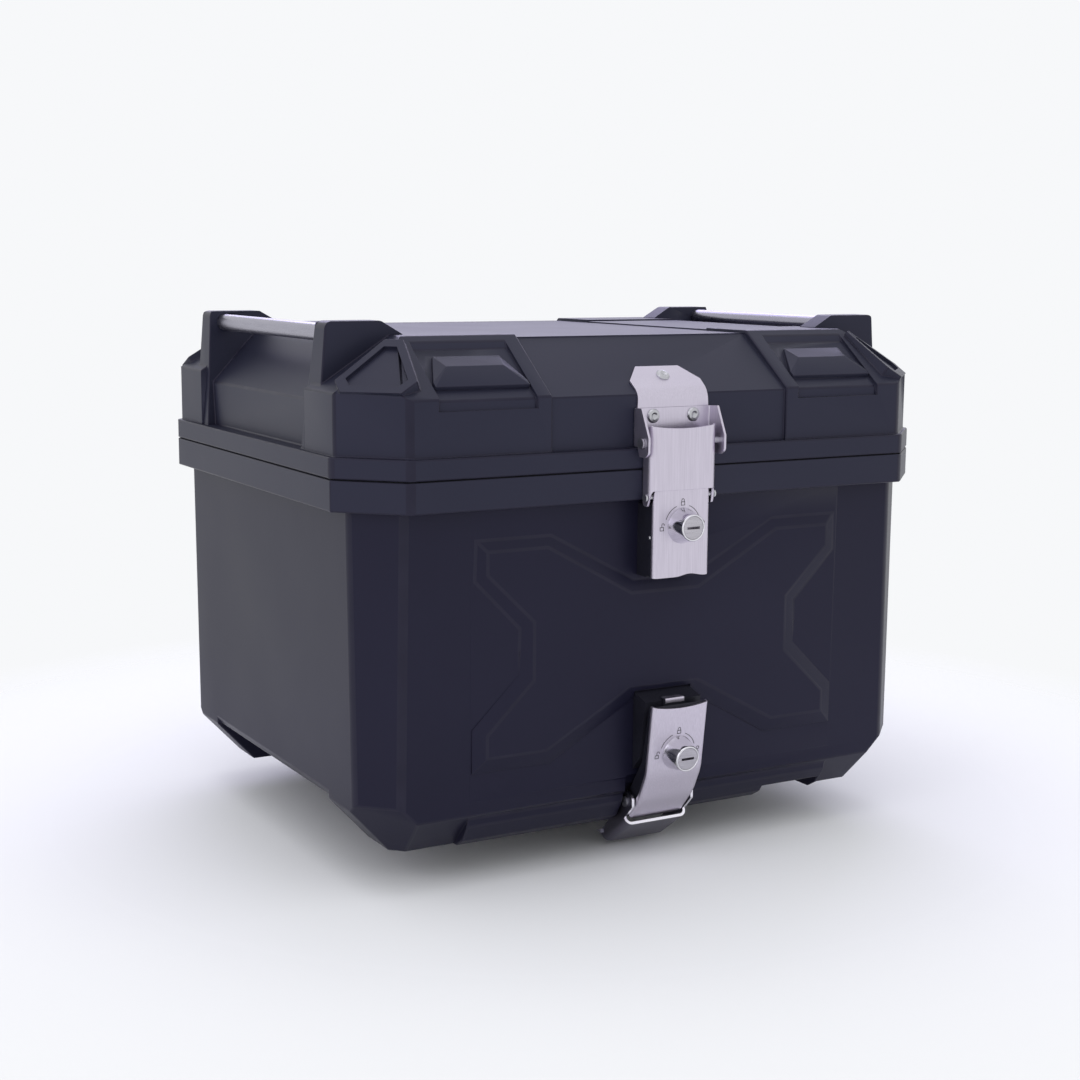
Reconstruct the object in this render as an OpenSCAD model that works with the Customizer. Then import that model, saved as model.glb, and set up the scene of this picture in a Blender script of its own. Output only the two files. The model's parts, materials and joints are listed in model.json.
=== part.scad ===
// Motorcycle top case: a drafted plastic tub with a hinged roof-shaped lid, two metal carrying rails,
// a draw latch with a key lock at the front, and a key-locked release that grips a carrier plate.
// Origin: middle of the underside face that sits on the carrier plate. -Y is the latch side, +Z is up.

/* [Case] */
// Width over the rim
case_w = 430; // [424:1:436]
// Depth over the rim
case_d = 344; // [340:1:348]
// Cut-off of the rim's corners
rim_cut = 35; // [30:1:38]
// Height of the joint between the tub and the lid
seam_z = 230; // [228:1:232]
// Height of the lid's roof
roof_z = 310; // [306:1:312]
// Wall thickness of the mouldings
wall = 3.2; // [2.8:0.1:3.6]

/* [Rails] */
// Outside diameter of a carrying rail
rail_d = 11; // [10:0.5:12]
// Distance from the middle of the case to a rail
rail_x = 194.5; // [193:0.5:196]
// Height of a rail's axis
rail_z = 312; // [311:0.5:313]
// Thickness of a rail fin
fin_t = 15.5; // [14:0.5:16]

/* [Hinges] */
// Distance from the middle of the case to a rear hinge
hinge_x = 105; // [90:1:120]
// Width of a rear hinge
hinge_w = 48; // [44:1:52]
// Diameter of a hinge pin
hinge_pin_d = 5; // [4:0.5:6]

/* [Draw latch] */
// Half width of the swinging link
link_hw = 24.3; // [23.8:0.1:24.6]
// Half width of the lever
lever_hw = 20.6; // [20:0.1:21]
// Sheet thickness of the latch metal
sheet = 1.5; // [1.2:0.1:1.8]
// Diameter of a key barrel at its foot
barrel_d = 22.5; // [21:0.5:24]

/* [Plate release] */
// Angle of the grip jaw's slope below the level
jaw_slope = 39; // [36:1:42]

/* [Hidden] */
// Radial gap between a turning pin and its bore
run_gap = 0.05;
// Overlap used to cut cleanly through a face
eps = 0.5;
case_hw = case_w / 2;
case_hd = case_d / 2;
// Half of the open line between the tub and the lid
seam_gap = 0.3;

// Tub
tub_hw = case_hw - 10.5;
tub_hd = case_hd - 10.5;
tub_cut = 25;
flange_z = seam_z - 19;
flange_t = 6;
floor_z = 12;
side_crease_z = 29;
front_crease_z = 33;
foot_x = 176;
foot_y = 137;
foot_half_gap = 100;
keel_x = 88;
keel_z = 8;
sill_left = 146;
corner_top_z = 34;
corner_top_r = (tub_hw + tub_hd - tub_cut) / sqrt(2);
corner_lean = 0.74;
pad_x = 150;
pad_y = 112;
pad_t = 2.4;

// Raised cross on the front wall, as [x, height above its middle]: its edge at the wall and its raised face
cross_mid_z = 122;
cross_h = 3;
cross_out = [[135, 72], [81, 72], [22, 39], [-22, 39], [-81, 72], [-135, 72], [-135, 45], [-103, 14],
    [-103, -14], [-135, -45], [-135, -72], [-81, -72], [-22, -39], [22, -39], [81, -72], [135, -72],
    [135, -45], [103, -14], [103, 14], [135, 45]];
cross_in = [[126, 63], [85, 63], [25, 30], [-25, 30], [-85, 63], [-126, 63], [-126, 49], [-94, 18],
    [-94, -18], [-126, -49], [-126, -63], [-85, -63], [-25, -30], [25, -30], [85, -63], [126, -63],
    [126, -49], [94, -18], [94, 18], [126, 49]];

// Lid
lid_hw = case_hw - 3;
lid_hd = case_hd - 3;
lid_cut = 33;
lid_rim_z = seam_z + 13;
front_break_z = roof_z - 34.5;
front_top_y = 123;
panel_hw = 86;
panel_drop = 2;
side_wall_x = case_hw - 10;
side_break_z = roof_z - 38;
fin_y = 92.5;
fin_top_z = roof_z + 9.5;
fin_hole_y = fin_y + 8;
// Corner caps: rise per unit run, foot height, and the foot's distance along and across the diagonal
cap_slope = 0.75;
cap_z = roof_z - 30.5;
cap_r = (lid_hw + lid_hd - lid_cut) / sqrt(2);
cap_w = (lid_hw - lid_hd) / sqrt(2);
// Raised frame on a corner cap and the field sunk in it, as [across, up the slope]
cap_frame = [[-19, 0], [19, 0], [25.5, 10.5], [6, 48], [-6, 48], [-25.5, 10.5]];
cap_field = [[-15, 6], [15, 6], [19, 12], [4, 41], [-4, 41], [-19, 12]];
cap_rise = 1.5;
cap_sink = 0.8;
slope_angle = atan2(roof_z - front_break_z, lid_hd - front_top_y);
// Decorative window on a corner pad: inner edge, width, length up the slope, depth
window_x = 96;
window_w = 64;
window_len = 46;
window_ramp = 5.5;
window_drop = 2;
// Louvre in the window: its fold's height over the pad and its places up the slope
louvre_h = 3;
louvre_foot = 10;
louvre_fold = 25;
louvre_top = 38;

// Hinge axis
hinge_y = case_hd + 8;
hinge_z = seam_z;
knuckle_r = 5.5;
leaf_t = 2.5;
mid_knuckle = 11;

// Hollow in the upper edge of the link and of the release lever: its radius and depth
hollow_r = 70;
hollow_deep = 2;
// Screw and rivet sizes
hole_r = 2.05;
shank_r = 2;
steel = [0.72, 0.7, 0.74];
bolt_metal = [0.6, 0.6, 0.62];
dark_nylon = [0.13, 0.13, 0.15];

// Draw latch axes and faces, as [y, z] or y
bracket_y = -case_hd + 6.5;
link_axis = [-case_hd - 6, seam_z + 16.5];
lever_axis = [-case_hd - 5, seam_z - 17];
link_face = -case_hd - 10.5;
link_bottom = lever_axis[1] + 4.2;
link_top = link_axis[1] + 10.5;
lever_face = -case_hd - 9;
lever_back = lever_face + sheet;
lock_z = seam_z - 35;
lever_bottom = 163;
lever_top = lever_axis[1] + 2.5;
lever_lip = lever_axis[1] + 4.5;
core_hw = lever_hw - sheet - run_gap;
barrel_len = 12.5;
barrel_shank_r = 9;
rotor_r = 7;

// Plate release axes and faces
release_axis = [-case_hd + 15, 16];
release_lock = [-case_hd - 8, 51];
release_lean = 7.3;
release_top = 82.5;
// Front faces of the release lever from its top to its swept-back foot, as [y, z]
lever_line = [[-case_hd - 12, release_top], [-case_hd - 6.2, 37], [-case_hd + 2, 20], [-case_hd + 16, 3.6]];
lever_inward = [[0.99, 0.13], [0.96, 0.27], [0.83, 0.56], [0.74, 0.67]];
// Grip jaw: front edge, length of its slope and height of the wall at its back
jaw_top = [-case_hd + 16.5, 0.5];
jaw_run = 36;
jaw_tip = jaw_top + jaw_run * [cos(jaw_slope), -sin(jaw_slope)];
jaw_wall = 10.5;
jaw_t = 2.5;

// Underside hooks
hook_z = -22;
hook_x = 66;
hook_hw = 17;

// Screw and rivet places, as [x, z]
base_spots = [for (sx = [-1, 1], k = [-1, 1], h = [12, 26]) [sx * hinge_x + k * 16, hinge_z - h]];
leaf_spots = [for (sx = [-1, 1], k = [-1, 1], h = [14, 28]) [sx * hinge_x + k * 16, hinge_z + h]];
catch_spots = [for (k = [-1, 1], h = [173, 196]) [k * 9, h]];
release_spots = [for (k = [-1, 1], h = [50, 74]) [k * 11, h]];
bracket_spots = [[-14.7, 262], [14.7, 262]];

$fn = 48;

// ---- shared outlines and solids ----

// Half outline given on the +X side, joined to its mirror image
function both(p) = concat(p, [for (i = [len(p) - 1:-1:0]) [-p[i][0], p[i][1]]]);

module octagon(hw, hd, c) {
    polygon([[hw, -hd + c], [hw, hd - c], [hw - c, hd], [-hw + c, hd],
        [-hw, hd - c], [-hw, -hd + c], [-hw + c, -hd], [hw - c, -hd]]);
}

// Octagonal block from z0 to z1
module oct_block(hw, hd, c, z0, z1) {
    translate([0, 0, z0]) linear_extrude(z1 - z0) octagon(hw, hd, c);
}

// Outline in y and z, run along X over the length len, centred
module along_x(len, pts) {
    rotate([90, 0, 90]) linear_extrude(len, center = true) polygon(pts);
}

// Outline in x and z, run along Y over the length len, centred
module along_y(len, pts) {
    rotate([90, 0, 0]) linear_extrude(len, center = true) polygon(pts);
}

module box(x0, x1, y0, y1, z0, z1) {
    translate([x0, y0, z0]) cube([x1 - x0, y1 - y0, z1 - z0]);
}

// Round bar along X, centred on x = 0, at [y, z]
module bar_x(r, len, at) {
    translate([0, at[0], at[1]]) rotate([0, 90, 0]) cylinder(r = r, h = len, center = true);
}

// Round bar along Y from y0 to y1 at x, z
module bar_y(r, x, y0, y1, z) {
    translate([x, y1, z]) rotate([90, 0, 0]) cylinder(r = r, h = y1 - y0);
}

module mirror_x() {
    children();
    mirror([1, 0, 0]) children();
}

module four_corners() {
    for (mx = [0, 1], my = [0, 1]) mirror([mx, 0, 0]) mirror([0, my, 0]) children();
}

// Four cuts across the corners: an outline in distance-from-middle and z
module corner_cuts(pts) {
    four_corners() rotate([0, 0, 45]) along_y(400, pts);
}

// ---- tub ----

module tub_outer() {
    difference() {
        intersection() {
            oct_block(tub_hw, tub_hd, tub_cut, 0, flange_z + eps);
            along_y(case_d, both([[foot_x, 0], [tub_hw - 1.8, side_crease_z], [tub_hw, flange_z + 1]]));
            union() {
                along_x(2 * sill_left - 20, both([[foot_y + 4, 0], [tub_hd - 12, 5], [tub_hd - 5, 16],
                    [tub_hd - 1.8, front_crease_z], [tub_hd, flange_z + 1]]));
                along_x(case_w, both([[foot_y, 0], [tub_hd - 2, front_crease_z - 9.5],
                    [tub_hd, flange_z + 1]]));
            }
        }
        corner_cuts([[corner_top_r - corner_lean * (corner_top_z + 1), -1],
            [corner_top_r + corner_lean * 2, corner_top_z + 2], [300, corner_top_z + 2], [300, -1]]);
    }
    oct_block(case_hw, case_hd, rim_cut, flange_z, seam_z - seam_gap);
}

module tub_inside() {
    difference() {
        intersection() {
            oct_block(tub_hw - wall, tub_hd - wall, tub_cut - 1.2, floor_z, seam_z + 1);
            along_y(case_d, both([[keel_x + 40, floor_z], [tub_hw - 9, corner_top_z + 1],
                [tub_hw - wall, seam_z - 20], [tub_hw - wall, seam_z + 2]]));
            along_x(case_w, both([[foot_y, floor_z], [tub_hd - 7, front_crease_z + 3],
                [tub_hd - wall, seam_z - 20], [tub_hd - wall, seam_z + 2]]));
        }
        corner_cuts([[corner_top_r - corner_lean * corner_top_z - 4, 0],
            [corner_top_r + 8 - 4, corner_top_z + 11], [300, corner_top_z + 11], [300, 0]]);
    }
    oct_block(case_hw - flange_t, case_hd - flange_t, rim_cut - 2.5, seam_z - 15, seam_z + 1);
}

// Space under the tub between the four feet, along both sides and between the keel ribs
module tub_underside() {
    mirror_x() along_y(2 * foot_half_gap, [[case_hw, -1], [case_hw, corner_top_z],
        [tub_hw - 1.7, corner_top_z], [tub_hw - 5, side_crease_z], [keel_x + 46, keel_z], [keel_x, keel_z],
        [keel_x, -1]]);
    // gap in the front sill beside the keel
    box(keel_x, keel_x + 46, -case_hd, -foot_half_gap + eps, -1, keel_z + 1);
    rib_pitch_x = 42;
    rib_pitch_y = 48;
    for (i = [-1.5:1:1.5], j = [-1.5:1:1.5])
        translate([i * rib_pitch_x, j * rib_pitch_y, 3]) cube([36, 42, 8], center = true);
    mirror_x() for (x = [8, 8 + rib_pitch_x])
        box(x, x + 36, foot_half_gap + 4, foot_half_gap + 30, -1, keel_z - 1);
    for (x = [-130:36:-20])
        box(x, x + 30, -foot_half_gap - 30, -foot_half_gap - 4, -1, keel_z - 1);
}

// Raised cross on the front wall: an outer outline at the wall and a smaller one on the raised face
module raised_cross() {
    n = len(cross_out);
    back = [for (p = cross_out) [p[0], -tub_hd + 4.2, p[1] + cross_mid_z]];
    skin = [for (p = cross_out) [p[0], -tub_hd + 0.9, p[1] + cross_mid_z]];
    face = [for (p = cross_in) [p[0], -tub_hd - cross_h + 1, p[1] + cross_mid_z]];
    // the cross as a middle and four arms, each a convex outline
    pieces = [[18, 2, 3, 7, 8, 12, 13, 17], [18, 19, 0, 1, 2], [3, 4, 5, 6, 7], [8, 9, 10, 11, 12],
        [13, 14, 15, 16, 17]];
    polyhedron(points = concat(back, skin, face), faces = concat(
        pieces,
        [for (c = pieces) [for (i = [len(c) - 1:-1:0]) 2 * n + c[i]]],
        [for (r = [0, 1], i = [0:n - 1]) [r * n + (i + 1) % n, r * n + i, (r + 1) * n + i]],
        [for (r = [0, 1], i = [0:n - 1]) [r * n + (i + 1) % n, (r + 1) * n + i, (r + 1) * n + (i + 1) % n]]));
}

module case_body() {
    color([0.16, 0.16, 0.19]) difference() {
        union() {
            tub_outer();
            raised_cross();
            // pads behind the rear hinges
            mirror_x() box(hinge_x - hinge_w / 2, hinge_x + hinge_w / 2, tub_hd - 2, case_hd, seam_z - 34,
                flange_z + 1);
        }
        tub_inside();
        tub_underside();
        difference() {
            oct_block(case_hw - 1.6, case_hd - 1.6, rim_cut - 0.7, seam_z - 2.3, seam_z + 1);
            oct_block(case_hw - 4.4, case_hd - 4.4, rim_cut - 1.8, seam_z - 3, seam_z + 2);
        }
        holes_y(base_spots, tub_hd - 14, case_hd + 1);
        catch_holes();
        release_holes();
        hook_holes();
        four_corners() translate([pad_x, pad_y, -1]) linear_extrude(pad_t + 1) octagon(9.05, 8.05, 3);
        backing_seats();
    }
}

// Flat seats inside the front wall for the backing plates
module backing_seats() {
    box(-22.1, 22.1, -tub_hd + wall, -tub_hd + wall + 5, 164.9, 204.1);
    box(-22.1, 22.1, -tub_hd + wall + 2, -tub_hd + wall + 8, 41.9, 80.1);
}

module rim_seal() {
    color([0.06, 0.06, 0.07]) difference() {
        oct_block(case_hw - 1.7, case_hd - 1.7, rim_cut - 0.75, seam_z - 2.3, seam_z + 0.1);
        oct_block(case_hw - 4.3, case_hd - 4.3, rim_cut - 1.75, seam_z - 3, seam_z + 1);
    }
}

module floor_mat() {
    color([0.1, 0.1, 0.11]) oct_block(keel_x + 36, foot_y - 4, 20, floor_z, floor_z + 3);
}

// Rubber pads let flush into the feet
module foot_pads() {
    color([0.05, 0.05, 0.06]) four_corners()
        translate([pad_x, pad_y, 0]) linear_extrude(pad_t) octagon(9, 8, 3);
}

// ---- screws and rivets ----

// Pan head screw along Y: head behind the face y, shank running forward by len
module screw_y(x, y, z, len) {
    translate([x, y, z]) rotate([-90, 0, 0]) {
        rotate_extrude() polygon([[0, -len], [shank_r, -len], [shank_r, 0], [4, 0], [4, 1.3], [3.1, 2.2],
            [1.5, 2.3], [1.5, 1], [0, 1]]);
    }
}

module screws_y(spots, y, len) {
    for (s = spots) screw_y(s[0], y, s[1], len);
}

// Holes for screws along Y at the spots, through everything between y0 and y1
module holes_y(spots, y0, y1) {
    for (s = spots) bar_y(hole_r, s[0], y0, y1, s[1]);
}

// ---- underside hooks ----

module plate_hook(x) {
    color([0.2, 0.2, 0.22]) difference() {
        translate([x, 0, 0]) along_x(2 * hook_hw, [[126, keel_z - 1], [126, -5], [120, -5], [120, hook_z],
            [100, hook_z], [100, hook_z + 6], [112, hook_z + 8], [112, -5], [104, -5], [104, keel_z - 1]]);
        for (k = [-1, 1]) translate([x + k * 9, 108, -6]) cylinder(r = hole_r, h = 20);
    }
}

module plate_hook_left() plate_hook(-hook_x);
module plate_hook_right() plate_hook(hook_x);

module hook_holes() {
    mirror_x() {
        box(hook_x - hook_hw, hook_x + hook_hw, 104, 126, -1, keel_z - 1);
        for (k = [-1, 1]) translate([hook_x + k * 9, 108, 0]) cylinder(r = hole_r, h = floor_z - 1);
    }
}

module plate_hook_screws() {
    color(bolt_metal) mirror_x() for (k = [-1, 1]) translate([hook_x + k * 9, 108, -5])
        rotate_extrude() polygon([[0, -1], [1.2, -1], [1.2, -2], [3.4, -1.8], [3.8, 0], [shank_r, 0],
            [shank_r, 15], [0, 15]]);
}

// ---- rear hinges ----

module knuckles(x0, x1) {
    translate([x0, hinge_y, hinge_z]) rotate([0, 90, 0]) cylinder(r = knuckle_r, h = x1 - x0);
}

module hinge_bore(cx) {
    translate([cx, 0, 0]) bar_x(hinge_pin_d / 2 + run_gap, hinge_w + 2, [hinge_y, hinge_z]);
}

module hinge_base(cx) {
    color([0.12, 0.12, 0.13]) difference() {
        union() {
            box(cx - hinge_w / 2, cx + hinge_w / 2, case_hd, case_hd + leaf_t, hinge_z - 32, hinge_z - 6.3);
            box(cx - mid_knuckle, cx + mid_knuckle, case_hd, hinge_y, hinge_z - 7, hinge_z - 1.6);
            knuckles(cx - mid_knuckle, cx + mid_knuckle);
        }
        hinge_bore(cx);
        holes_y(base_spots, case_hd - 1, case_hd + 5);
    }
}

module hinge_leaf(cx) {
    color([0.12, 0.12, 0.13]) difference() {
        union() {
            box(cx - hinge_w / 2, cx + hinge_w / 2, case_hd, case_hd + leaf_t, hinge_z + 6.3, hinge_z + 34);
            for (k = [-1, 1]) {
                x0 = k < 0 ? cx - hinge_w / 2 : cx + mid_knuckle + 0.4;
                x1 = k < 0 ? cx - mid_knuckle - 0.4 : cx + hinge_w / 2;
                box(x0, x1, case_hd, hinge_y, hinge_z + 1.6, hinge_z + 7);
                knuckles(x0, x1);
            }
        }
        hinge_bore(cx);
        holes_y(leaf_spots, case_hd - 1, case_hd + 5);
    }
}

module hinge_pin(cx) {
    color([0.7, 0.7, 0.72]) translate([cx, 0, 0]) {
        bar_x(hinge_pin_d / 2, hinge_w, [hinge_y, hinge_z]);
        for (k = [-1, 1]) translate([k * (hinge_w / 2 + 0.7), 0, 0])
            bar_x(hinge_pin_d / 2 + 1, 1.2, [hinge_y, hinge_z]);
    }
}

module hinge_base_left() hinge_base(-hinge_x);
module hinge_base_right() hinge_base(hinge_x);
module hinge_leaf_left() hinge_leaf(-hinge_x);
module hinge_leaf_right() hinge_leaf(hinge_x);
module hinge_pin_left() hinge_pin(-hinge_x);
module hinge_pin_right() hinge_pin(hinge_x);
module hinge_base_screws() color(bolt_metal) screws_y(base_spots, case_hd + leaf_t, 12);
module hinge_leaf_screws() color(bolt_metal) screws_y(leaf_spots, case_hd + leaf_t, 10);

// ---- lid ----

// Slopes of the four corner caps, set in by the distance inset
module cap_cuts(inset) {
    top = roof_z + 3;
    r = cap_r - inset;
    corner_cuts([[r, cap_z], [r - (top - cap_z) / cap_slope, top], [300, top], [300, cap_z]]);
}

// Roof-shaped outside of the lid above its rim
module roof_outer() {
    difference() {
        intersection() {
            oct_block(lid_hw, lid_hd, lid_cut, lid_rim_z - eps, roof_z + 1);
            along_x(case_w, both([[lid_hd, lid_rim_z - eps], [lid_hd, front_break_z + 1],
                [front_top_y, roof_z + 1]]));
            along_y(case_d, both([[lid_hw, lid_rim_z - eps], [lid_hw, cap_z], [163, roof_z + 1]]));
        }
        cap_cuts(0);
        // lower middle panel, running up the front, over the roof and down the back
        for (my = [0, 1]) mirror([0, my, 0]) along_x(2 * panel_hw, [[-lid_hd + panel_drop, lid_rim_z - 2],
            [-lid_hd + panel_drop, front_break_z], [-front_top_y + panel_drop, roof_z - 1.6],
            [-front_top_y + panel_drop, roof_z + 3], [-lid_hd - 4, roof_z + 3],
            [-lid_hd - 4, lid_rim_z - 2]]);
        box(-panel_hw, panel_hw, -front_top_y, front_top_y, roof_z - 1, roof_z + 3);
        // side panels between the fins
        mirror_x() along_y(2 * fin_y, [[side_wall_x, lid_rim_z], [side_wall_x, side_break_z],
            [176, roof_z - 8], [166, roof_z], [166, roof_z + 3], [case_hw, roof_z + 3],
            [case_hw, lid_rim_z]]);
        box(-166, 166, -78, 78, roof_z, roof_z + 3);
    }
}

// Fin plate carrying one end of a rail
module fin() {
    intersection() {
        along_y(case_d, [[case_hw - 4, lid_rim_z - eps], [case_hw - 10.5, fin_top_z], [169, fin_top_z],
            [155, roof_z + 1.5], [150, roof_z - 8], [150, lid_rim_z + 20], [180, lid_rim_z - eps]]);
        along_x(case_w, [[fin_y - 9, lid_rim_z - eps], [fin_y, fin_top_z], [fin_y + fin_t, fin_top_z],
            [fin_y + fin_t, lid_rim_z - eps]]);
    }
}

module lid_inside() {
    top = roof_z - wall - 2;
    difference() {
        intersection() {
            oct_block(side_wall_x - wall, lid_hd - wall - panel_drop, lid_cut - 3, seam_z - 1, top);
            along_x(case_w, both([[lid_hd - wall - panel_drop, seam_z - 1],
                [lid_hd - wall - panel_drop, front_break_z - 1.5], [front_top_y - 4, top]]));
            along_y(case_d, both([[side_wall_x - wall, seam_z - 1], [side_wall_x - wall, side_break_z - 1.5],
                [172, roof_z - 11], [160, top]]));
        }
        cap_cuts(7);
    }
    oct_block(case_hw - flange_t, case_hd - flange_t, rim_cut - 2.5, seam_z - 1, lid_rim_z - 4);
}

// Windows sunk in the corner pads of both slopes: they run over the crease and ramp out at the top
module pad_windows() {
    along_slope = window_len * [cos(slope_angle), sin(slope_angle)];
    ramp = window_ramp * [cos(slope_angle), sin(slope_angle)];
    sunk = window_drop * [sin(slope_angle), -cos(slope_angle)];
    crease = [-lid_hd, front_break_z + 1];
    mirror_x() for (my = [0, 1]) mirror([0, my, 0]) translate([window_x + window_w / 2, 0, 0])
        along_x(window_w, [crease + [window_drop, -7], crease + [window_drop, -1],
            crease + along_slope + sunk, crease + along_slope + ramp,
            crease + along_slope + ramp - 4 * sunk, crease + [-5, 0],
            crease + [-5, -7]]);
}

// Hooded bar across a window: a fold above the pad between a long upper face and a steep lower face
module pad_louvres() {
    mirror_x() for (my = [0, 1]) mirror([0, my, 0]) on_front_slope(0, 1) translate([window_x, 0, 0]) hull() {
        translate([0, 0, -4]) linear_extrude(4.8) polygon([[1, louvre_foot], [window_w - 1, louvre_foot],
            [window_w - 1, louvre_foot + 4], [1, louvre_foot + 4]]);
        translate([0, 0, -4]) linear_extrude(4) polygon([[1, louvre_foot], [window_w - 1, louvre_foot],
            [window_w - 10, louvre_top], [10, louvre_top]]);
        translate([13, louvre_fold, louvre_h - 1]) cube([window_w - 26, 0.6, 1]);
    }
}

// Places flat work on the front slope: x across, y up the slope, z outwards; drop sinks it below the pads
module on_front_slope(drop, up) {
    translate([0, -lid_hd + drop, front_break_z + up]) rotate([slope_angle, 0, 0]) children();
}

// Places flat work on each corner cap: x across, y up the slope, z outwards
module on_corner_caps() {
    four_corners() rotate([0, 0, -45]) translate([cap_w, 0, 0]) rotate([0, 0, 90])
        translate([cap_r, 0, cap_z]) rotate([0, 0, 90]) rotate([atan(cap_slope), 0, 0]) children();
}

// Raised frame of each corner cap, reaching down into the slope
module cap_frames() {
    on_corner_caps() translate([0, 0, -12]) linear_extrude(12 + cap_rise) polygon(cap_frame);
}

// Field sunk inside each frame
module cap_fields() {
    on_corner_caps() translate([0, 0, -cap_sink])
        linear_extrude(cap_sink + cap_rise + eps) polygon(cap_field);
}

module lid_shell() {
    color([0.16, 0.16, 0.19]) difference() {
        union() {
            difference() {
                union() {
                    roof_outer();
                    cap_frames();
                }
                pad_windows();
                cap_fields();
            }
            pad_louvres();
            oct_block(case_hw, case_hd, rim_cut, seam_z + seam_gap, lid_rim_z);
            four_corners() fin();
            mirror_x() box(hinge_x - hinge_w / 2, hinge_x + hinge_w / 2, lid_hd - 4, case_hd,
                lid_rim_z - eps, hinge_z + 35);
        }
        lid_inside();
        for (x = [-rail_x, rail_x]) bar_y(rail_d / 2 + run_gap, x, -fin_hole_y, fin_hole_y, rail_z);
        holes_y(leaf_spots, lid_hd - 12, case_hd + 1);
        holes_y(bracket_spots, -case_hd, -lid_hd + 12);
        on_front_slope(panel_drop, 0) translate([0, 15, -12]) cylinder(r = hole_r, h = 20);
    }
}

module rail(x) {
    color([0.82, 0.82, 0.86]) difference() {
        bar_y(rail_d / 2, x, -fin_hole_y, fin_hole_y, rail_z);
        bar_y(rail_d / 2 - 1.2, x, -fin_hole_y - 1, fin_hole_y + 1, rail_z);
    }
}

module rail_left() rail(-rail_x);
module rail_right() rail(rail_x);

module rail_end_plugs() {
    color([0.1, 0.1, 0.1]) for (x = [-rail_x, rail_x], s = [0, 1]) mirror([0, s, 0])
        bar_y(rail_d / 2 - 1.25, x, fin_y - 14, fin_hole_y, rail_z);
}

// ---- draw latch ----

module lid_bracket() {
    wall_y = -lid_hd + panel_drop;
    half = link_hw + 4.2;
    color(steel) difference() {
        union() {
            // plate against the lid's front wall
            translate([0, wall_y, 0]) rotate([90, 0, 0]) linear_extrude(sheet)
                polygon(both([[half, lid_rim_z + 1], [half, 267], [26, 268.5], [25.5, front_break_z + 0.6]]));
            // flap bent back over the roof slope
            translate([0, wall_y, front_break_z]) rotate([slope_angle, 0, 0]) linear_extrude(sheet)
                polygon(both([[25.5, -0.4], [26, 11], [15.7, 24]]));
            for (k = [-1, 1]) translate([k * (half - sheet / 2), 0, 0]) along_x(sheet, [[wall_y, 268],
                [-case_hd - 4.5, 267.5], [-case_hd - 13, 250], [-case_hd - 12.5, 240.5], [-case_hd - 9, 238],
                [-case_hd - 3, 238], [-case_hd - 1, lid_rim_z + 1], [wall_y, lid_rim_z + 1]]);
        }
        bar_x(2 + run_gap, 2 * half + 2, link_axis);
        holes_y(bracket_spots, -case_hd, -lid_hd + 12);
        on_front_slope(panel_drop, 0) translate([0, 15, -12]) cylinder(r = hole_r, h = 20);
    }
}

// Dome-headed rivet along +z of the place where it is put
module rivet(len) {
    rotate_extrude() polygon([[0, -len], [2, -len], [2, 0], [4.4, 0], [4.4, 0.5], [3.7, 1.4], [2.2, 1.7],
        [1.2, 1.1], [0, 0.9]]);
}

module bracket_rivets() {
    color([0.75, 0.74, 0.78]) {
        for (s = bracket_spots)
            translate([s[0], -lid_hd + panel_drop - sheet, s[1]]) rotate([90, 0, 0]) rivet(8);
        on_front_slope(panel_drop, 0) translate([0, 15, sheet]) rivet(7);
    }
}

module bracket_backing_plate() {
    color(bolt_metal) difference() {
        box(-24, 24, -lid_hd + panel_drop + wall, -lid_hd + panel_drop + wall + 1.8, lid_rim_z + 4, 268);
        holes_y(bracket_spots, -case_hd, -lid_hd + 12);
    }
}

// Shallow hollow across an upper edge at the height z
module top_hollow(z) {
    translate([0, 0, z + hollow_r - hollow_deep]) rotate([90, 0, 0])
        cylinder(r = hollow_r, h = 400, center = true, $fn = 160);
}

module latch_link() {
    color(steel) difference() {
        union() {
            difference() {
                box(-link_hw, link_hw, link_face, link_face + sheet, link_bottom, link_top);
                top_hollow(link_top);
            }
            for (k = [-1, 1]) translate([k * (link_hw - sheet / 2), 0, 0])
                along_x(sheet, [[link_face, link_bottom], [link_face, link_top], [-case_hd - 8, link_top],
                    [-case_hd - 3, link_top - 2.4], [-case_hd - 0.8, link_top - 6], [-case_hd - 0.8, 210],
                    [-case_hd - 2.5, 207.5], [-case_hd - 6.5, 207.5], [-case_hd - 8, 209.5],
                    [-case_hd - 8.4, 214], [-case_hd - 9.4, 216.4]]);
        }
        bar_x(2 + run_gap, 2 * link_hw + 2, link_axis);
        bar_x(1.5 + run_gap, 2 * link_hw + 2, lever_axis);
    }
}

// Headed cross pin: shank radius, length over the heads, head radius
module cross_pin(r, len, head_r, at) {
    bar_x(r, len, at);
    for (k = [-1, 1]) translate([k * (len / 2 - 0.6), 0, 0]) bar_x(head_r, 1.2, at);
}

module link_pin() {
    color([0.75, 0.74, 0.78]) cross_pin(2, 2 * (link_hw + 5.6), 3.2, link_axis);
}

module lever_pin() {
    color([0.75, 0.74, 0.78]) cross_pin(1.5, 2 * (link_hw + 1.4), 2.4, lever_axis);
}

module latch_lever_cover() {
    color(steel) difference() {
        union() {
            box(-lever_hw, lever_hw, lever_face, lever_back, lever_bottom, lever_lip);
            mirror_x() box(lever_hw - sheet, lever_hw, lever_face, lever_back + 2, lever_bottom, lever_top - 6);
        }
        // wavy lower edge
        translate([6, 0, lever_bottom - 20.6]) rotate([90, 0, 0])
            cylinder(r = 22, h = 400, center = true, $fn = 96);
        bar_y(barrel_shank_r + run_gap, 0, -case_hd - 20, 0, lock_z);
    }
}

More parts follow.
